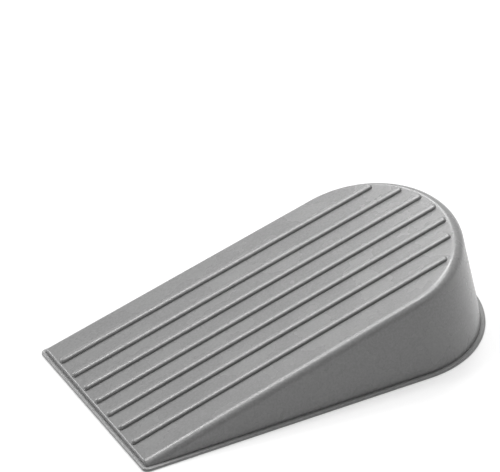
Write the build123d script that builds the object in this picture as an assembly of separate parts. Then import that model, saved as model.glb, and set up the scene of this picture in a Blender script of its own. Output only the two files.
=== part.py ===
from build123d import *
import os
from math import cos, radians, sin, sqrt, tan

# A rubber door wedge in two pieces: a cored wedge, and a thin sole that closes it from below.
# Frame: +X runs from the thin toe to the tall heel, Y runs across, +Z is up. The origin is on the
# floor, under the middle of the sole.

# Plan of the sole: a straight toe and straight sides, and a heel that is half an ellipse.
LENGTH = 128.4
WIDTH = 89.0
HEEL_DEPTH = 33.1
TOE_X = -LENGTH / 2
HEEL_CENTRE_X = LENGTH / 2 - HEEL_DEPTH

# Ramp: its height above the floor at the sole's toe edge, and its slope in degrees.
TOE_HEIGHT = 2.25
RAMP_SLOPE = 13.65

# Walls of the wedge: set back from the sole's rim at the foot, leaning in by the mould's draft.
LEDGE = 1.3
DRAFT = 4.25
TOP_EDGE_RADIUS = 2.8
TOE_EDGE_RADIUS = 0.4

# Raised ribs on the ramp: one on the centre line and three each side, the outermost a little apart.
# The ribs draw together towards the heel as the ramp narrows, so their places are shares of its half width.
RIBS_PER_SIDE = 3
RIB_PITCH_SHARE = 0.2265
OUTER_RIB_SHIFT_SHARE = 0.018
RIB_WIDTH = 2.6
RIB_HEIGHT = 1.15
RIB_SHOULDER_RADIUS = 0.85
RIB_TOE_GAP = 0.6
RIB_HEEL_INSET = 7.2

# Sole: a plate with a rounded rim, grip grooves across its underside, and four pegs on top.
SOLE_THICKNESS = 1.0
SOLE_CORNER_RADIUS = 2.2
SOLE_RIM_RADIUS = 0.35
GROOVE_PITCH = 5.0
GROOVE_WIDTH = 1.6
GROOVE_DEPTH = 0.35
GROOVE_MARGIN = 5.0
PEG_RADIUS = 2.5
PEG_HEIGHT = 5.0
PEG_CHAMFER = 0.6

# Core: square cells open below, with webs between them, under a ramp skin of even thickness.
SKIN = 4.0
CORE_INSET = 6.8
CELL = 10.5
CELL_CORNER_RADIUS = 1.0
WEB = 2.4
CELL_PITCH = CELL + WEB
CELL_ROWS = 8
CELL_COLUMNS = 6
CORE_START_X = TOE_X + 24.0
SMALLEST_CELL_AREA = 0.35 * CELL**2

# Bosses where two webs cross, bored for the sole's pegs.
BOSS_ROWS = (1, 6)
BOSS_COLUMNS = (1, 5)
BOSS_RADIUS = 4.6
SOCKET_CLEARANCE = 0.05
SOCKET_DEPTH = 5.4

# Construction solids run past the finished shape by this much.
RUNOUT = 30.0


def ramp_plane(x, y=0.0, drop=0.0):
    """The ramp as a plane over (x, y): its X axis runs uphill, and drop lowers it square to itself."""
    slope = radians(RAMP_SLOPE)
    normal = Vector(-sin(slope), 0, cos(slope))
    surface = Vector(x, y, TOE_HEIGHT + (x - TOE_X) * tan(slope))
    return Plane(surface - normal * drop, x_dir=(cos(slope), 0, sin(slope)), z_dir=normal)


def plan_face(inset, toe_x=TOE_X):
    """The plan outline, set in by inset along its sides and heel, with its toe at toe_x."""
    side = WIDTH / 2 - inset
    near = Line((toe_x, -side), (HEEL_CENTRE_X, -side))
    heel = EllipticalCenterArc((HEEL_CENTRE_X, 0), HEEL_DEPTH - inset, side, start_angle=-90, arc_size=180)
    far = Line((HEEL_CENTRE_X, side), (toe_x, side))
    toe = Line((toe_x, side), (toe_x, -side))
    return make_face([near, heel, far, toe])


def drafted_walls():
    """A tall block with the wedge's leaning side and heel walls, running out past the toe."""
    sections = []
    for z in (SOLE_THICKNESS - RUNOUT, SOLE_THICKNESS + 2 * RUNOUT):
        inset = LEDGE + (z - SOLE_THICKNESS) * tan(radians(DRAFT))
        sections.append(Pos(0, 0, z) * plan_face(inset, TOE_X - RUNOUT))
    return loft(sections, ruled=True)


def wedge_outside():
    """The wedge's outer form without ribs: ramp, rounded top edge, square toe and flat foot."""
    ramp = ramp_plane(TOE_X)
    block = split(drafted_walls(), bisect_by=ramp, keep=Keep.BOTTOM)
    ramp_face = block.faces().sort_by(Axis(ramp.origin, ramp.z_dir))[-1]
    top_edge = [edge for edge in ramp_face.edges() if edge.center().X > TOE_X]
    block = fillet(top_edge, TOP_EDGE_RADIUS)
    toe_wall = Plane((TOE_X + LEDGE, 0, 0), x_dir=(0, 1, 0), z_dir=(1, 0, 0))
    foot = Plane((0, 0, SOLE_THICKNESS))
    block = split(block, bisect_by=toe_wall, keep=Keep.TOP)
    block = split(block, bisect_by=foot, keep=Keep.TOP)
    toe_face = block.faces().sort_by(Axis.X)[0]
    foot_edge = toe_face.edges().sort_by(Axis.Z)[0]
    return fillet([edge for edge in toe_face.edges() if edge != foot_edge], TOE_EDGE_RADIUS)


def rib_shares():
    """Each rib's distance from the centre line, as a share of the ramp's half width."""
    reach = [rank * RIB_PITCH_SHARE for rank in range(RIBS_PER_SIDE + 1)]
    reach[-1] += OUTER_RIB_SHIFT_SHARE
    return [-share for share in reach[:0:-1]] + reach


def ramp_half_width(x):
    """Half the width of the ramp between its leaning side walls."""
    rise = ramp_plane(x).origin.Z - SOLE_THICKNESS
    return WIDTH / 2 - LEDGE - rise * tan(radians(DRAFT))


def rib(share):
    """One rib: a bar with round ends and rounded shoulders, standing square on the ramp."""
    toe_end = TOE_X + LEDGE + RIB_TOE_GAP
    across = share * ramp_half_width(HEEL_CENTRE_X) / (WIDTH / 2 - RIB_HEEL_INSET)
    heel_end = HEEL_CENTRE_X + (HEEL_DEPTH - RIB_HEEL_INSET) * sqrt(1 - across**2)
    toe_point = ramp_plane(toe_end, share * ramp_half_width(toe_end)).origin
    heel_point = ramp_plane(heel_end, share * ramp_half_width(heel_end)).origin
    along = heel_point - toe_point
    up = ramp_plane(0).z_dir
    root = Plane((toe_point + heel_point) / 2 - up * RIB_HEIGHT, x_dir=along, z_dir=up)
    bar = extrude(root * SlotOverall(along.length, RIB_WIDTH), 2 * RIB_HEIGHT)
    crest = bar.faces().sort_by(Axis(root.origin, root.z_dir))[-1]
    return fillet(crest.edges(), RIB_SHOULDER_RADIUS)


def cell_places():
    """Centres of the core's cells, row by row from toe to heel."""
    rows = [CORE_START_X + CELL / 2 + row * CELL_PITCH for row in range(CELL_ROWS)]
    columns = [(column - (CELL_COLUMNS - 1) / 2) * CELL_PITCH for column in range(CELL_COLUMNS)]
    return [(x, y) for x in rows for y in columns]


def peg_places():
    """Web crossings that hold the sole's pegs: two towards the toe and two towards the heel."""
    rows = [CORE_START_X - WEB / 2 + row * CELL_PITCH for row in BOSS_ROWS]
    columns = [(column - CELL_COLUMNS / 2) * CELL_PITCH for column in BOSS_COLUMNS]
    return [(x, y) for x in rows for y in columns]


def core_cells():
    """The core's pockets: rounded squares cut off by the wall, the bosses and the ramp's skin."""
    ceiling = ramp_plane(TOE_X, drop=SKIN)
    field = plan_face(CORE_INSET)
    for x, y in peg_places():
        field -= Pos(x, y) * Circle(BOSS_RADIUS)
    cells = []
    for x, y in cell_places():
        mouth = field & Pos(x, y) * RectangleRounded(CELL, CELL, CELL_CORNER_RADIUS)
        if mouth.area > SMALLEST_CELL_AREA:
            pocket = extrude(Pos(0, 0, SOLE_THICKNESS) * mouth, 2 * RUNOUT)
            cells.append(split(pocket, bisect_by=ceiling, keep=Keep.BOTTOM))
    return cells


def socket(x, y):
    """The round hole in a boss that takes one peg."""
    middle = SOLE_THICKNESS + SOCKET_DEPTH / 2
    return Pos(x, y, middle) * Cylinder(PEG_RADIUS + SOCKET_CLEARANCE, SOCKET_DEPTH)


def wedge_body():
    """The moulded wedge: outside, ribs, cored underside and bored bosses."""
    body = wedge_outside()
    for share in rib_shares():
        body += rib(share)
    for cell in core_cells():
        body -= cell
    for x, y in peg_places():
        body -= socket(x, y)
    return body


def peg(x, y):
    """One peg, its top edge chamfered to find the socket."""
    pin = Pos(x, y, SOLE_THICKNESS + PEG_HEIGHT / 2) * Cylinder(PEG_RADIUS, PEG_HEIGHT)
    return chamfer(pin.edges().sort_by(Axis.Z)[-1], PEG_CHAMFER)


def grip_grooves():
    """Grooves across the underside, kept inside the rim so that the edge stays unbroken."""
    field = extrude(plan_face(GROOVE_MARGIN, TOE_X + GROOVE_MARGIN), GROOVE_DEPTH)
    count = int((LENGTH - 2 * GROOVE_MARGIN) / GROOVE_PITCH)
    grooves = []
    for place in range(count):
        x = (place - (count - 1) / 2) * GROOVE_PITCH
        grooves.append(Pos(x, 0, GROOVE_DEPTH / 2) * Box(GROOVE_WIDTH, WIDTH, GROOVE_DEPTH) & field)
    return grooves


def grip_sole():
    """The sole: plate with a rounded rim, grooves below and pegs above."""
    outline = plan_face(0)
    toe_corners = outline.vertices().group_by(Axis.X)[0]
    plate = extrude(fillet(toe_corners, SOLE_CORNER_RADIUS), SOLE_THICKNESS)
    rim = plate.edges().group_by(Axis.Z)
    plate = fillet(list(rim[0]) + list(rim[-1]), SOLE_RIM_RADIUS)
    for groove in grip_grooves():
        plate -= groove
    for x, y in peg_places():
        plate += peg(x, y)
    return plate


def main():
    """Write each piece to its own file."""
    os.makedirs("parts", exist_ok=True)
    for node, solid in (("wedge_body", wedge_body()), ("grip_sole", grip_sole())):
        solid.label = node
        export_step(solid, f"parts/{node}.step")


main()
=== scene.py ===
from math import cos, hypot, pi, radians, sin, sqrt, tan

import bmesh
import bpy
from mathutils import Matrix, Vector
from mathutils.geometry import delaunay_2d_cdt


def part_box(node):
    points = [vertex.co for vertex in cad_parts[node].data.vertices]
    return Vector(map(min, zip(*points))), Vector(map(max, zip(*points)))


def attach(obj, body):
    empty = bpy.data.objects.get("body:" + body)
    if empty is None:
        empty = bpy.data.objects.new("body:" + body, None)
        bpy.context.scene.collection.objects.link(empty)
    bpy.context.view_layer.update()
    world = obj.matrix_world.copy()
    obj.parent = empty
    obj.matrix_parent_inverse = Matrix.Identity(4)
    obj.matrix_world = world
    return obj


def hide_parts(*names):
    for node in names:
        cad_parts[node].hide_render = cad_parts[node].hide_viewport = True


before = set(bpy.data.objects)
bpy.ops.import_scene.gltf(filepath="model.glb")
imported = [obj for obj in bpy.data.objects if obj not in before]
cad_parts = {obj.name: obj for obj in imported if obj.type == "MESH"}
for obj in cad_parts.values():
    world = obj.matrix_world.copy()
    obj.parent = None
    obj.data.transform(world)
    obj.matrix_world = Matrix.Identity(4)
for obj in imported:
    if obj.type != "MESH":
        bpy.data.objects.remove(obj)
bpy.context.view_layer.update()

# Shapes below are worked out in millimetres and scaled to metres when a mesh is made.
MM = 0.001
UP = Vector((0, 0, 1))

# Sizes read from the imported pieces.
body_low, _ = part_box("wedge_body")
sole_low, sole_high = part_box("grip_sole")
TOE_X = sole_low.x / MM
HALF_WIDTH = sole_high.y / MM
LEDGE = (body_low.x - sole_low.x) / MM
SOLE_THICKNESS = body_low.z / MM
PEG_TOP = sole_high.z / MM

# Form of the wedge, as in the CAD: half-ellipse heel, ramp, leaning walls and rounded top edge. The contact
# heights bracket the search for where the top edge's rounding meets the wall.
HEEL_DEPTH = 33.1
HEEL_CENTRE_X = sole_high.x / MM - HEEL_DEPTH
TOE_HEIGHT = 2.25
SLOPE = radians(13.65)
DRAFT = radians(4.25)
TOP_EDGE_RADIUS = 2.8
TOE_EDGE_RADIUS = 0.4
FOOT_RADIUS = 0.12
LOWEST_CONTACT = -20.0
HIGHEST_CONTACT = 60.0
WALL_X = TOE_X + LEDGE
RAMP_NORMAL = Vector((-sin(SLOPE), 0, cos(SLOPE)))
RAMP_ORIGIN = Vector((TOE_X, 0, TOE_HEIGHT))
UPHILL = Vector((cos(SLOPE), 0, sin(SLOPE)))

# Ribs on the ramp: places across it are shares of its half width, so the ribs draw together uphill.
RIB_SHARES = (-0.6975, -0.453, -0.2265, 0.0, 0.2265, 0.453, 0.6975)
RIB_HALF_WIDTH = 1.3
RIB_HEIGHT = 1.15
RIB_FLAT = 0.1
RIB_WALL = 0.35
RIB_ROOT = 0.05
RIB_TOE_GAP = 0.6
RIB_HEEL_INSET = 7.2

# Core cells and sockets on the wedge's underside. A cell open over less than SMALLEST_OPEN_SHARE is left out.
SKIN = 4.0
CORE_INSET = 6.8
CELL = 10.5
CELL_CORNER = 1.0
WEB = 2.4
CELL_PITCH = CELL + WEB
CELL_ROWS = 8
CELL_COLUMNS = 6
CORE_START_X = TOE_X + 24.0
SMALLEST_OPEN_SHARE = 0.3
BOSS_ROWS = (1, 6)
BOSS_COLUMNS = (1, 5)
BOSS_RADIUS = 4.6
SOCKET_RADIUS = 2.55
SOCKET_DEPTH = 5.4

# Sole rim, grooves and pegs.
SOLE_CORNER = 2.2
RIM_RADIUS = 0.35
GROOVE_PITCH = 5.0
GROOVE_WIDTH = 1.6
GROOVE_DEPTH = 0.35
GROOVE_EDGE = 0.1
GROOVE_MARGIN = 5.0
PEG_RADIUS = 2.5
PEG_CHAMFER = 0.6

# Fineness of the meshes.
SIDE_STEPS = 30
HEEL_STEPS = 112
WALL_STEPS = 8
EDGE_STEPS = 14
FOOT_STEPS = 4
TOE_STEPS = 6
ACROSS_STEPS = 40
CELL_STEPS = 72
RIB_STEPS = 30
RIB_END_STEPS = 14
FOOT_TURN_STEPS = 3
CREST_STEPS = 12
CIRCLE_STEPS = 32
CORNER_STEPS = 8
RIM_STEPS = 5
CELL_GRID_STEPS = 12
HALVINGS = 48
CELL_HALVINGS = 24

# A narrow band between a rounded edge and the flat face beside it, then where the sides' stations start and
# how strongly they crowd towards the toe.
BUFFER = 0.04
STATION_GAP = 0.4
STATION_CROWDING = 1.3

# Mesh cleaning: what counts as one point, as no length, as a sharp edge, and as touching in a flat filling.
MERGE_DISTANCE = 0.002
SHORTEST_EDGE = 0.001
SHARP_EDGE = radians(35.0)
FILL_TOUCH = 1e-7
FILL_ENCLOSED_ONLY = 1

# Rubber: one grey for both pieces, sizes of clouds and grain, and how far they change colour and roughness.
# The useful part of a noise texture's values lies between NOISE_LOW and NOISE_HIGH.
GREY = (0.2, 0.2, 0.2)
CLOUD_MM = 14
GRAIN_MM = 0.7
NOISE_LOW = 0.3
NOISE_HIGH = 0.7
SPECKLE = 0.12
CLOUDING = 0.012
# How much paler the upper halves of the ribs are painted, fully so on their crests.
CREST_PALER = 1.12
ROUGHNESS_SWING = 0.04

# Floor: half its side in metres, its level in millimetres, a hair below the sole so that they share no plane,
# and the brightness that it and the white surround give of themselves.
FLOOR_HALF_SIDE = 30.0
FLOOR_LEVEL = -0.03
FLOOR_GLOW = 0.48

# The white surround fades out between these heights on the unit sphere of directions.
SURROUND_FULL = 0.1
SURROUND_GONE = 0.3

# Where the lights are aimed, in metres: the middle of the wedge.
LIGHT_TARGET = (0, 0, 0.015)

# Camera: where it looks in millimetres, bearing, rise and roll in degrees, distance in metres, and lens.
CAMERA_TARGET = (0.974, 16.495, 32.671)
CAMERA_AZIMUTH = -18.607
CAMERA_ELEVATION = 28.083
CAMERA_DISTANCE = 1.8546
CAMERA_ROLL = -8.888
LENS_MM = 430.8
SENSOR_MM = 36.0


# ---------------------------------------------------------------- mesh building

class Shell:
    """Collects points and faces in millimetres, then makes one closed mesh of them."""

    def __init__(self):
        self.points = []
        self.crest_paling = []
        self.faces = []

    def add(self, points, crest_paling=0.0):
        """Adds points with one amount of crest paling and returns their numbers."""
        first = len(self.points)
        self.points.extend(Vector(p) for p in points)
        self.crest_paling.extend([crest_paling] * (len(self.points) - first))
        return list(range(first, len(self.points)))

    def strip(self, one, two, closed=False):
        """Quads between two rows of equal length."""
        count = len(one)
        for i in range(count if closed else count - 1):
            j = (i + 1) % count
            self.faces.append((one[i], one[j], two[j], two[i]))

    def fill(self, outer, holes, flat):
        """Triangles over a flat region: outer is a convex loop, holes are loops, flat gives 2-D places."""
        loops = [outer, *holes]
        numbers = [n for loop in loops for n in loop]
        places = [Vector(flat(self.points[n])) for n in numbers]
        edges = []
        first = 0
        for loop in loops:
            edges.extend((first + i, first + (i + 1) % len(loop)) for i in range(len(loop)))
            first += len(loop)
        flat_places, _, triangles, sources, *_ = delaunay_2d_cdt(
            places, edges, [], FILL_ENCLOSED_ONLY, FILL_TOUCH
        )
        corners = [[flat(self.points[n]) for n in hole] for hole in holes]
        boxes = [bounds_2d(corner) for corner in corners]
        back = [numbers[originals[0]] for originals in sources]
        for face in triangles:
            x = sum(flat_places[v].x for v in face) / 3
            y = sum(flat_places[v].y for v in face) / 3
            if any(in_box(x, y, b) and inside(x, y, c) for b, c in zip(boxes, corners)):
                continue
            self.faces.append(tuple(back[v] for v in face))

    def make(self, name):
        """The finished object: doubles merged, faces facing out, smooth but for sharp edges."""
        mesh = bpy.data.meshes.new(name)
        mesh.from_pydata([p * MM for p in self.points], [], self.faces)
        mesh.attributes.new("crest_paling", "FLOAT", "POINT").data.foreach_set("value", self.crest_paling)
        work = bmesh.new()
        work.from_mesh(mesh)
        bmesh.ops.remove_doubles(work, verts=work.verts, dist=MERGE_DISTANCE * MM)
        bmesh.ops.dissolve_degenerate(work, edges=work.edges, dist=SHORTEST_EDGE * MM)
        bmesh.ops.recalc_face_normals(work, faces=work.faces)
        for face in work.faces:
            face.smooth = True
        for edge in work.edges:
            edge.smooth = len(edge.link_faces) == 2 and edge.calc_face_angle() < SHARP_EDGE
        work.to_mesh(mesh)
        work.free()
        made = bpy.data.objects.new(name, mesh)
        bpy.context.scene.collection.objects.link(made)
        return made


def bounds_2d(corners):
    """Lowest and highest x and y of a loop."""
    xs = [c[0] for c in corners]
    ys = [c[1] for c in corners]
    return min(xs), max(xs), min(ys), max(ys)


def in_box(x, y, box):
    """Whether a place is in a 2-D box."""
    return box[0] < x < box[1] and box[2] < y < box[3]


def inside(x, y, corners):
    """Whether a place is inside a loop, by counting crossings."""
    within = False
    for (x0, y0), (x1, y1) in zip(corners, corners[1:] + corners[:1]):
        if (y0 > y) != (y1 > y) and x < x0 + (y - y0) / (y1 - y0) * (x1 - x0):
            within = not within
    return within


def spread(start, end, steps):
    """Evenly spaced numbers, both ends included."""
    return [start + (end - start) * i / steps for i in range(steps + 1)]


# ---------------------------------------------------------------- outside of the wedge

def plan_point(x, turn, inset):
    """A place on the plan outline, set in: on a side turn is a quarter turn, round the heel it varies."""
    return Vector((x + (HEEL_DEPTH - inset) * cos(turn), (HALF_WIDTH - inset) * sin(turn), 0))


def wall_at(x, turn, z):
    """A point of the leaning wall and the wall's outward normal there."""
    inset = LEDGE + (z - SOLE_THICKNESS) * tan(DRAFT)
    point = plan_point(x, turn, inset)
    point.z = z
    depth = HEEL_DEPTH - inset
    half = HALF_WIDTH - inset
    rise = (depth * sin(turn) ** 2 + half * cos(turn) ** 2) * tan(DRAFT)
    return point, Vector((half * cos(turn), depth * sin(turn), rise)).normalized()


def above_ramp(point):
    """Height of a point over the ramp, square to it."""
    return (point - RAMP_ORIGIN).dot(RAMP_NORMAL)


def edge_ball(x, turn):
    """Where a ball of the top edge's radius touches wall and ramp: wall height, centre, wall normal."""
    def miss(z):
        point, normal = wall_at(x, turn, z)
        return above_ramp(point - normal * TOP_EDGE_RADIUS) + TOP_EDGE_RADIUS

    low, high = LOWEST_CONTACT, HIGHEST_CONTACT
    for _ in range(HALVINGS):
        middle = (low + high) / 2
        low, high = (middle, high) if miss(middle) < 0 else (low, middle)
    point, normal = wall_at(x, turn, low)
    return low, point - normal * TOP_EDGE_RADIUS, normal


def rounding(start, share):
    """The normal part of the way from start to the ramp's own."""
    return start.slerp(RAMP_NORMAL, share) if share > 0 else start.copy()


def foot_share(centre, normal, reach):
    """How far round the top edge the wedge's foot lies, where the rounding runs out onto the sole."""
    low, high = 0.0, 1.0
    for _ in range(HALVINGS):
        middle = (low + high) / 2
        height = centre.z + reach * rounding(normal, middle).z
        low, high = (middle, high) if height < SOLE_THICKNESS + FOOT_RADIUS else (low, middle)
    return low


def foot_arc(centre, normal, radius):
    """The small rounding at the wedge's foot, from the sole up to the wall."""
    return [centre + (-UP).slerp(normal, share) * radius for share in spread(0, 1, FOOT_STEPS)]


def section(x, turn):
    """The outside from the sole up to the ramp at one station: foot, wall and rounded edge."""
    top, centre, normal = edge_ball(x, turn)
    foot = SOLE_THICKNESS + FOOT_RADIUS * (1 + normal.z)
    if top > foot:
        contact, foot_normal = wall_at(x, turn, foot)
        row = foot_arc(contact - foot_normal * FOOT_RADIUS, foot_normal, FOOT_RADIUS)
        row += [wall_at(x, turn, z)[0] for z in spread(foot, top, WALL_STEPS)[1:]]
        start = 0.0
    else:
        start = foot_share(centre, normal, TOP_EDGE_RADIUS - FOOT_RADIUS)
        direction = rounding(normal, start)
        row = foot_arc(centre + direction * (TOP_EDGE_RADIUS - FOOT_RADIUS), direction, FOOT_RADIUS)
        row += [row[-1].copy() for _ in range(WALL_STEPS)]
    row += [centre + rounding(normal, s) * TOP_EDGE_RADIUS for s in spread(start, 1, EDGE_STEPS)[1:]]
    return row


def toe_section(x, turn):
    """The same row of points cut square at x, drawn in where the toe's own edges are rounded."""
    from_wall = x - WALL_X
    top_drop = edge_drop(from_wall, TOE_EDGE_RADIUS)
    foot_rise = edge_drop(from_wall, FOOT_RADIUS)
    radius = TOP_EDGE_RADIUS - top_drop
    foot_radius = FOOT_RADIUS - foot_rise
    _, centre, normal = edge_ball(x, turn)
    start = foot_share(centre, normal, radius - foot_radius)
    direction = rounding(normal, start)
    row = foot_arc(centre + direction * (radius - foot_radius), direction, foot_radius)
    row += [row[-1].copy() for _ in range(WALL_STEPS)]
    for share in spread(start, 1, EDGE_STEPS)[1:]:
        out = rounding(normal, share) * radius
        row.append(edge_ball(x - out.x, turn)[1] + out)
    for point in row:
        point.x = x
    return row


def edge_drop(distance, radius):
    """How far a rounded edge has fallen away at a distance from the face it meets."""
    if distance >= radius:
        return 0.0
    return radius - sqrt(radius**2 - (radius - distance) ** 2)


def wedge_sections():
    """Rows round the wedge from the near side of the toe, past the heel, to the far side."""
    cuts = [WALL_X + TOE_EDGE_RADIUS * (1 - sin(a)) for a in spread(0, pi / 2, TOE_STEPS)]
    toe = [toe_section(x, -pi / 2) for x in cuts]
    start = WALL_X + TOE_EDGE_RADIUS + TOP_EDGE_RADIUS * sin(SLOPE) + STATION_GAP
    along = [start + (HEEL_CENTRE_X - start) * s**STATION_CROWDING for s in spread(0, 1, SIDE_STEPS)]
    side = [section(x, -pi / 2) for x in along]
    heel = [section(HEEL_CENTRE_X, turn) for turn in spread(-pi / 2, 0, HEEL_STEPS // 2)[1:]]
    near = side + heel
    far = [[Vector((p.x, -p.y, p.z)) for p in row] for row in near[-2::-1]]
    return toe, near + far


def ramp_point(x, share):
    """A point of the ramp at x, a share of the half width from its centre line."""
    z = TOE_HEIGHT + (x - TOE_X) * tan(SLOPE)
    half = HALF_WIDTH - LEDGE - (z - SOLE_THICKNESS) * tan(DRAFT)
    return Vector((x, share * half, z))


def rib_ends(share):
    """The ends of a rib's centre line: the heel ends lie on an ellipse set in from the heel's edge."""
    across = ramp_point(HEEL_CENTRE_X, share).y / (HALF_WIDTH - RIB_HEEL_INSET)
    heel_end = HEEL_CENTRE_X + (HEEL_DEPTH - RIB_HEEL_INSET) * sqrt(1 - across**2)
    return ramp_point(WALL_X + RIB_TOE_GAP, share), ramp_point(heel_end, share)


def rib_profile():
    """Half section of a rib as pairs of reach from its centre line and height, root to crest."""
    curve = RIB_HALF_WIDTH - RIB_FLAT
    cap = RIB_HEIGHT - RIB_WALL
    turns = spread(0, pi / 2, FOOT_TURN_STEPS)
    root = [(RIB_HALF_WIDTH + RIB_ROOT * (1 - sin(a)), RIB_ROOT * (1 - cos(a))) for a in turns]
    crest = [(RIB_FLAT + curve * cos(a), RIB_WALL + cap * sin(a)) for a in spread(0, pi / 2, CREST_STEPS)]
    return [(root[0][0] + BUFFER, 0.0), *root, *crest, (RIB_FLAT - BUFFER, RIB_HEIGHT)]


def paling_at_height(share):
    """How much paler a rib is painted at a share of its height: none at its foot, full on its crest."""
    return max(0.0, 2 * share - 1)


def rib_loop(share, reach, height):
    """A loop round a rib's centre line at one reach and height."""
    toe_end, heel_end = rib_ends(share)
    ahead = (heel_end - toe_end).normalized()
    aside = RAMP_NORMAL.cross(ahead)
    start = toe_end + ahead * RIB_HALF_WIDTH + RAMP_NORMAL * height
    end = heel_end - ahead * RIB_HALF_WIDTH + RAMP_NORMAL * height
    steps = spread(0, 1, RIB_STEPS)
    turns = spread(-pi / 2, pi / 2, RIB_END_STEPS)[1:-1]
    loop = [start.lerp(end, s) - aside * reach for s in steps]
    loop += [end + ahead * reach * cos(turn) + aside * reach * sin(turn) for turn in turns]
    loop += [end.lerp(start, s) + aside * reach for s in steps]
    loop += [start - ahead * reach * cos(turn) - aside * reach * sin(turn) for turn in turns]
    return loop


def on_ramp(point):
    """A ramp point's 2-D place: distance uphill and across."""
    return (point - RAMP_ORIGIN).dot(UPHILL), point.y


def on_floor(point):
    """A level point's 2-D place."""
    return point.x, point.y


def drawn_in(loop, distance, across):
    """A flat convex loop, corner points moved in by a distance; across is the plane's normal."""
    moved = []
    count = len(loop)
    for i, point in enumerate(loop):
        before = (point - loop[i - 1]).normalized()
        after = (loop[(i + 1) % count] - point).normalized()
        inward = (across.cross(before) + across.cross(after)).normalized()
        moved.append(point + inward * (distance / max(0.5, inward.dot(across.cross(before)))))
    return moved


# ---------------------------------------------------------------- underside of the wedge

def peg_places():
    """Web crossings that hold the sole's pegs."""
    rows = [CORE_START_X - WEB / 2 + row * CELL_PITCH for row in BOSS_ROWS]
    columns = [(column - CELL_COLUMNS / 2) * CELL_PITCH for column in BOSS_COLUMNS]
    return [(x, y) for x in rows for y in columns]


def circle(x, y, radius, z):
    """A level round loop."""
    turns = spread(0, 2 * pi, CIRCLE_STEPS)[:-1]
    return [Vector((x + radius * cos(a), y + radius * sin(a), z)) for a in turns]


def in_cell(x, y, cell_x, cell_y):
    """Whether a place lies in a cell: in its rounded square, off the heel's wall and off the bosses."""
    reach = CELL / 2 - CELL_CORNER
    past_x = max(0.0, abs(x - cell_x) - reach)
    past_y = max(0.0, abs(y - cell_y) - reach)
    if hypot(past_x, past_y) > CELL_CORNER:
        return False
    towards_heel = max(0.0, x - HEEL_CENTRE_X) / (HEEL_DEPTH - CORE_INSET)
    if hypot(towards_heel, y / (HALF_WIDTH - CORE_INSET)) > 1:
        return False
    return all(hypot(x - boss_x, y - boss_y) > BOSS_RADIUS for boss_x, boss_y in peg_places())


def cell_outline(cell_x, cell_y):
    """A cell's outline, found outwards from the middle of its open part; none if too small to mould."""
    offsets = spread(-CELL / 2, CELL / 2, CELL_GRID_STEPS)
    grid = [(cell_x + u, cell_y + v) for u in offsets for v in offsets]
    open_part = [(x, y) for x, y in grid if in_cell(x, y, cell_x, cell_y)]
    if len(open_part) < SMALLEST_OPEN_SHARE * len(grid):
        return []
    middle_x = sum(x for x, _ in open_part) / len(open_part)
    middle_y = sum(y for _, y in open_part) / len(open_part)
    outline = []
    for turn in spread(0, 2 * pi, CELL_STEPS)[:-1]:
        near, far = 0.0, CELL
        for _ in range(CELL_HALVINGS):
            reach = (near + far) / 2
            within = in_cell(middle_x + reach * cos(turn), middle_y + reach * sin(turn), cell_x, cell_y)
            near, far = (reach, far) if within else (near, reach)
        outline.append((middle_x + near * cos(turn), middle_y + near * sin(turn)))
    return outline


def cell_outlines():
    """Outlines of the cells that are large enough to mould."""
    rows = [CORE_START_X + CELL / 2 + row * CELL_PITCH for row in range(CELL_ROWS)]
    columns = [(column - (CELL_COLUMNS - 1) / 2) * CELL_PITCH for column in range(CELL_COLUMNS)]
    outlines = [cell_outline(x, y) for x in rows for y in columns]
    return [outline for outline in outlines if outline]


def ceiling_z(x):
    """Height of the core's ceiling, a skin's thickness under the ramp."""
    return TOE_HEIGHT + (x - TOE_X) * tan(SLOPE) - SKIN / cos(SLOPE)


# ---------------------------------------------------------------- the pieces

def wedge_shell():
    """The moulded wedge: outside, ribs, core cells and peg sockets."""
    shell = Shell()
    toe, rows = wedge_sections()
    mirror = [[Vector((p.x, -p.y, p.z)) for p in row] for row in toe]
    toe_numbers = [shell.add(row) for row in toe]
    row_numbers = [shell.add(row) for row in rows]
    mirror_numbers = [shell.add(row) for row in mirror]
    chain = toe_numbers[::-1] + row_numbers + mirror_numbers
    for one, two in zip(chain, chain[1:]):
        shell.strip(one, two)

    lines = [(near[-1], far[-1]) for near, far in zip(toe, mirror)]
    lines += list(zip(toe[-1][-2::-1], mirror[-1][-2::-1]))
    lines += [(near[0], far[0]) for near, far in zip(toe[-2::-1], mirror[-2::-1])]
    cap = [shell.add([near.lerp(far, s) for s in spread(0, 1, ACROSS_STEPS)]) for near, far in lines]
    for one, two in zip(cap, cap[1:]):
        shell.strip(one, two)

    ramp_edge = cap[0][::-1] + [row[-1] for row in row_numbers]
    inner = shell.add(drawn_in([shell.points[n] for n in ramp_edge], BUFFER, RAMP_NORMAL))
    shell.strip(ramp_edge, inner, closed=True)
    rib_feet = []
    for share in RIB_SHARES:
        # Each rib loop carries a share of paling: none up to half the rib's height, full on its crest.
        loops = [shell.add(rib_loop(share, reach, z), paling_at_height(z / RIB_HEIGHT)) for reach, z in rib_profile()]
        for one, two in zip(loops, loops[1:]):
            shell.strip(one, two, closed=True)
        shell.faces.append(tuple(loops[-1]))
        rib_feet.append(loops[0])
    shell.fill(inner, rib_feet, on_ramp)

    foot_edge = cap[-1][::-1] + [row[0] for row in row_numbers]
    mouths = []
    for outline in cell_outlines():
        mouth = shell.add([(x, y, SOLE_THICKNESS) for x, y in outline])
        roof = shell.add([(x, y, ceiling_z(x)) for x, y in outline])
        shell.strip(mouth, roof, closed=True)
        shell.faces.append(tuple(roof))
        mouths.append(mouth)
    for x, y in peg_places():
        mouth = shell.add(circle(x, y, SOCKET_RADIUS, SOLE_THICKNESS))
        end = shell.add(circle(x, y, SOCKET_RADIUS, SOLE_THICKNESS + SOCKET_DEPTH))
        shell.strip(mouth, end, closed=True)
        shell.faces.append(tuple(end))
        mouths.append(mouth)
    shell.fill(foot_edge, mouths, on_floor)
    return shell


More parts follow.
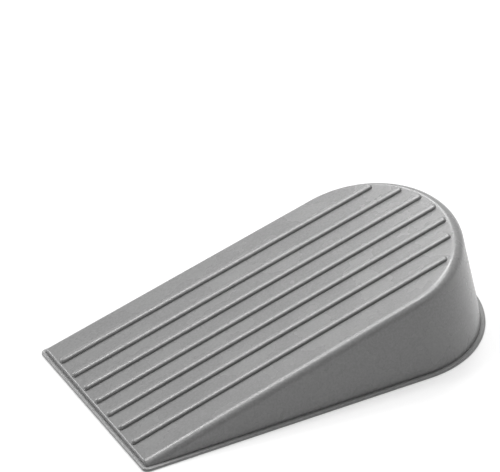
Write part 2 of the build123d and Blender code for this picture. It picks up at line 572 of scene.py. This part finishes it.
def sole_loop(inset, z):
    """The sole's outline at one inset and height: toe, rounded corners, sides and heel."""
    corner = SOLE_CORNER - inset
    corner_x = TOE_X + SOLE_CORNER
    corner_y = HALF_WIDTH - SOLE_CORNER
    toe = [(TOE_X + inset, y) for y in spread(corner_y, -corner_y, ACROSS_STEPS)]
    turns = spread(pi, 3 * pi / 2, CORNER_STEPS)[1:]
    near = [(corner_x + corner * cos(a), -corner_y + corner * sin(a)) for a in turns]
    side = [(x, inset - HALF_WIDTH) for x in spread(corner_x, HEEL_CENTRE_X, SIDE_STEPS)[1:-1]]
    heel = [plan_point(HEEL_CENTRE_X, turn, inset)[:2] for turn in spread(-pi / 2, pi / 2, HEEL_STEPS)]
    back = [(x, -y) for x, y in (near + side)[::-1]]
    return [Vector((x, y, z)) for x, y in toe + near + side + heel + back[:-1]]


def groove_loop(x, inset, z):
    """The outline of one groove across the underside."""
    loop = []
    for edge in (x - GROOVE_WIDTH / 2 + inset, x + GROOVE_WIDTH / 2 - inset):
        half = HALF_WIDTH - GROOVE_MARGIN
        if edge > HEEL_CENTRE_X:
            along = (edge - HEEL_CENTRE_X) / (HEEL_DEPTH - GROOVE_MARGIN)
            half *= sqrt(max(0.0, 1 - along**2))
        loop.append((edge, half - inset))
    (x0, y0), (x1, y1) = loop
    near = [Vector((x0 + (x1 - x0) * s, -(y0 + (y1 - y0) * s), z)) for s in spread(0, 1, 2)]
    far = [Vector((x1 + (x0 - x1) * s, y1 + (y0 - y1) * s, z)) for s in spread(0, 1, 2)]
    return near + far


def groove_places():
    """Where the grooves run."""
    count = int((2 * abs(TOE_X) - 2 * GROOVE_MARGIN) / GROOVE_PITCH)
    return [(place - (count - 1) / 2) * GROOVE_PITCH for place in range(count)]


def sole_shell():
    """The sole: rounded rim, pegs above and grip grooves below."""
    shell = Shell()
    turns = spread(0, pi / 2, RIM_STEPS)
    rim = [(RIM_RADIUS * (1 - sin(a)), RIM_RADIUS * (1 - cos(a))) for a in turns]
    rim += [(inset, SOLE_THICKNESS - z) for inset, z in rim[::-1]]
    rim = [(RIM_RADIUS + BUFFER, 0.0), *rim, (RIM_RADIUS + BUFFER, SOLE_THICKNESS)]
    loops = [shell.add(sole_loop(inset, z)) for inset, z in rim]
    for one, two in zip(loops, loops[1:]):
        shell.strip(one, two, closed=True)

    roots = []
    for x, y in peg_places():
        root = shell.add(circle(x, y, PEG_RADIUS, SOLE_THICKNESS))
        neck = shell.add(circle(x, y, PEG_RADIUS, PEG_TOP - PEG_CHAMFER))
        tip = shell.add(circle(x, y, PEG_RADIUS - PEG_CHAMFER, PEG_TOP))
        shell.strip(root, neck, closed=True)
        shell.strip(neck, tip, closed=True)
        shell.faces.append(tuple(tip))
        roots.append(root)
    shell.fill(loops[-1], roots, on_floor)

    mouths = []
    for x in groove_places():
        mouth = shell.add(groove_loop(x, 0, 0))
        lip = shell.add(groove_loop(x, GROOVE_EDGE, GROOVE_EDGE))
        bed = shell.add(groove_loop(x, GROOVE_EDGE, GROOVE_DEPTH))
        shell.strip(mouth, lip, closed=True)
        shell.strip(lip, bed, closed=True)
        shell.faces.append(tuple(bed))
        mouths.append(mouth)
    shell.fill(loops[0], mouths, on_floor)
    return shell


# ---------------------------------------------------------------- materials

def noise(material, place, size_mm, detail, harshness):
    """A noise texture in the object's own space, its features about size_mm across."""
    texture = material.node_tree.nodes.new("ShaderNodeTexNoise")
    texture.inputs["Scale"].default_value = 1 / (size_mm * MM)
    texture.inputs["Detail"].default_value = detail
    texture.inputs["Roughness"].default_value = harshness
    material.node_tree.links.new(place.outputs["Object"], texture.inputs["Vector"])
    return texture.outputs["Fac"]


def ranged(material, value, low, high, start, end):
    """A value running from start to end as it goes from low to high."""
    spread_out = material.node_tree.nodes.new("ShaderNodeMapRange")
    spread_out.inputs["From Min"].default_value = low
    spread_out.inputs["From Max"].default_value = high
    spread_out.inputs["To Min"].default_value = start
    spread_out.inputs["To Max"].default_value = end
    material.node_tree.links.new(value, spread_out.inputs["Value"])
    return spread_out.outputs["Result"]


def times(material, one, two):
    """The product of two values."""
    product = material.node_tree.nodes.new("ShaderNodeMath")
    product.operation = "MULTIPLY"
    material.node_tree.links.new(one, product.inputs[0])
    material.node_tree.links.new(two, product.inputs[1])
    return product.outputs[0]


def rubber(name, colour, roughness, grain_height_mm):
    """Satin moulded rubber: fine speckle, faint clouding, very fine bump and rib crests painted paler."""
    material = bpy.data.materials.new(name)
    material.use_nodes = True
    nodes = material.node_tree.nodes
    links = material.node_tree.links
    shader = nodes["Principled BSDF"]
    place = nodes.new("ShaderNodeTexCoord")
    clouds = noise(material, place, CLOUD_MM, 3.0, 0.5)
    grain = noise(material, place, GRAIN_MM, 2.0, 0.6)

    speckle = ranged(material, grain, NOISE_LOW, NOISE_HIGH, 1 - SPECKLE, 1 + SPECKLE)
    clouding = ranged(material, clouds, NOISE_LOW, NOISE_HIGH, 1 - CLOUDING, 1 + CLOUDING)
    # The ribs' upper halves are painted paler towards their crests, by a share stored on each point.
    crest_paling = nodes.new("ShaderNodeAttribute")
    crest_paling.attribute_name = "crest_paling"
    paled = ranged(material, crest_paling.outputs["Fac"], 0.0, 1.0, 1.0, CREST_PALER)

    shade = nodes.new("ShaderNodeVectorMath")
    shade.operation = "SCALE"
    shade.inputs[0].default_value = colour
    links.new(times(material, times(material, speckle, clouding), paled), shade.inputs["Scale"])
    links.new(shade.outputs["Vector"], shader.inputs["Base Color"])

    low, high = roughness - ROUGHNESS_SWING, roughness + ROUGHNESS_SWING
    links.new(ranged(material, clouds, NOISE_LOW, NOISE_HIGH, low, high), shader.inputs["Roughness"])

    bump = nodes.new("ShaderNodeBump")
    bump.inputs["Strength"].default_value = 1.0
    bump.inputs["Distance"].default_value = grain_height_mm * MM
    links.new(grain, bump.inputs["Height"])
    links.new(bump.outputs["Normal"], shader.inputs["Normal"])
    shader.inputs["IOR"].default_value = 1.5
    return material


def floor_material():
    """Plain pale floor that glows a little, as a lit studio sweep does, so that it stays near white."""
    material = bpy.data.materials.new("pale_floor")
    material.use_nodes = True
    shader = material.node_tree.nodes["Principled BSDF"]
    shader.inputs["Base Color"].default_value = (0.4, 0.4, 0.4, 1)
    shader.inputs["Roughness"].default_value = 0.9
    shader.inputs["Specular IOR Level"].default_value = 0.1
    shader.inputs["Emission Color"].default_value = (1, 1, 1, 1)
    shader.inputs["Emission Strength"].default_value = FLOOR_GLOW
    return material


# ---------------------------------------------------------------- scene

def make_pieces():
    """Both pieces, riding on the one body and standing for their CAD nodes."""
    body_rubber = rubber("body_rubber", GREY, 0.27, 0.003)
    sole_rubber = rubber("sole_rubber", GREY, 0.4, 0.005)
    for name, shell, node, slot, material in (
        ("wedge_moulding", wedge_shell(), "wedge_body", "body_rubber", body_rubber),
        ("sole_plate", sole_shell(), "grip_sole", "sole_rubber", sole_rubber),
    ):
        piece = shell.make(name)
        piece.data.materials.append(material)
        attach(piece, "root")
        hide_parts(node)


def make_floor():
    """A broad level floor."""
    mesh = bpy.data.meshes.new("floor")
    reach = FLOOR_HALF_SIDE
    level = FLOOR_LEVEL * MM
    corners = [(-reach, -reach, level), (reach, -reach, level), (reach, reach, level), (-reach, reach, level)]
    mesh.from_pydata(corners, [], [(0, 1, 2, 3)])
    floor = bpy.data.objects.new("floor", mesh)
    bpy.context.scene.collection.objects.link(floor)
    mesh.materials.append(floor_material())


def look(thing, place, target, roll=0.0):
    """Puts a camera or light at a place, facing a target, rolled about its line of sight."""
    thing.location = place
    facing = (Vector(target) - Vector(place)).to_track_quat("-Z", "Y")
    thing.rotation_mode = "QUATERNION"
    thing.rotation_quaternion = facing @ Matrix.Rotation(roll, 4, "Z").to_quaternion()


def direction(azimuth, elevation):
    """Unit vector from the object towards a place: azimuth 0 is towards -Y, 90 towards +X."""
    a = radians(azimuth)
    e = radians(elevation)
    return Vector((sin(a) * cos(e), -cos(a) * cos(e), sin(e)))


def make_camera():
    """A long lens from beside the toe, a little above the ramp."""
    data = bpy.data.cameras.new("camera")
    data.sensor_width = SENSOR_MM
    data.lens = LENS_MM
    camera = bpy.data.objects.new("camera", data)
    bpy.context.scene.collection.objects.link(camera)
    target = Vector(CAMERA_TARGET) * MM
    away = direction(CAMERA_AZIMUTH, CAMERA_ELEVATION) * CAMERA_DISTANCE
    look(camera, target + away, target, radians(CAMERA_ROLL))
    data.clip_start = 0.05
    data.clip_end = 50.0
    bpy.context.scene.camera = camera


def softbox(name, azimuth, elevation, distance, size, power):
    """A square soft light, unseen by the camera, aimed at the object: degrees, metres and watts."""
    data = bpy.data.lights.new(name, "AREA")
    data.shape = "SQUARE"
    data.size = size
    data.energy = power
    light = bpy.data.objects.new(name, data)
    bpy.context.scene.collection.objects.link(light)
    look(light, direction(azimuth, elevation) * distance, LIGHT_TARGET)
    light.visible_camera = False


def make_lights():
    """Soft studio light: banks behind and above the wedge, small near ones by the heel, a white surround."""
    softbox("back_low", 210, 24, 1.2, 0.42, 4.7)
    softbox("back_high", 210, 68, 1.2, 0.25, 3.8)
    softbox("back_side", 150, 56, 1.2, 0.25, 4.8)
    softbox("back_middle", 180, 56, 1.2, 0.25, 1.7)
    softbox("back_strip", 165, 32, 1.2, 0.2, 1.4)
    softbox("overhead_back", 180, 80, 1.2, 0.25, 2.0)
    softbox("overhead", 0, 90, 1.2, 0.3, 1.8)
    softbox("heel_near", 90, 70, 0.4, 0.2, 1.0)
    softbox("front_fill", 330, 70, 1.2, 0.3, 0.9)
    make_surround()


def make_surround():
    """A band of white wall round the horizon, as bright as the bare floor, fading out above."""
    world = bpy.data.worlds.new("studio")
    world.use_nodes = True
    nodes = world.node_tree.nodes
    links = world.node_tree.links
    place = nodes.new("ShaderNodeTexCoord")
    parts = nodes.new("ShaderNodeSeparateXYZ")
    links.new(place.outputs["Generated"], parts.inputs["Vector"])
    fade = nodes.new("ShaderNodeMapRange")
    fade.inputs["From Min"].default_value = SURROUND_FULL
    fade.inputs["From Max"].default_value = SURROUND_GONE
    fade.inputs["To Min"].default_value = FLOOR_GLOW
    fade.inputs["To Max"].default_value = 0.0
    links.new(parts.outputs["Z"], fade.inputs["Value"])
    nodes["Background"].inputs["Color"].default_value = (1, 1, 1, 1)
    links.new(fade.outputs["Result"], nodes["Background"].inputs["Strength"])
    bpy.context.scene.world = world


make_pieces()
make_floor()
make_camera()
make_lights()
bpy.context.scene.view_settings.view_transform = "Standard"
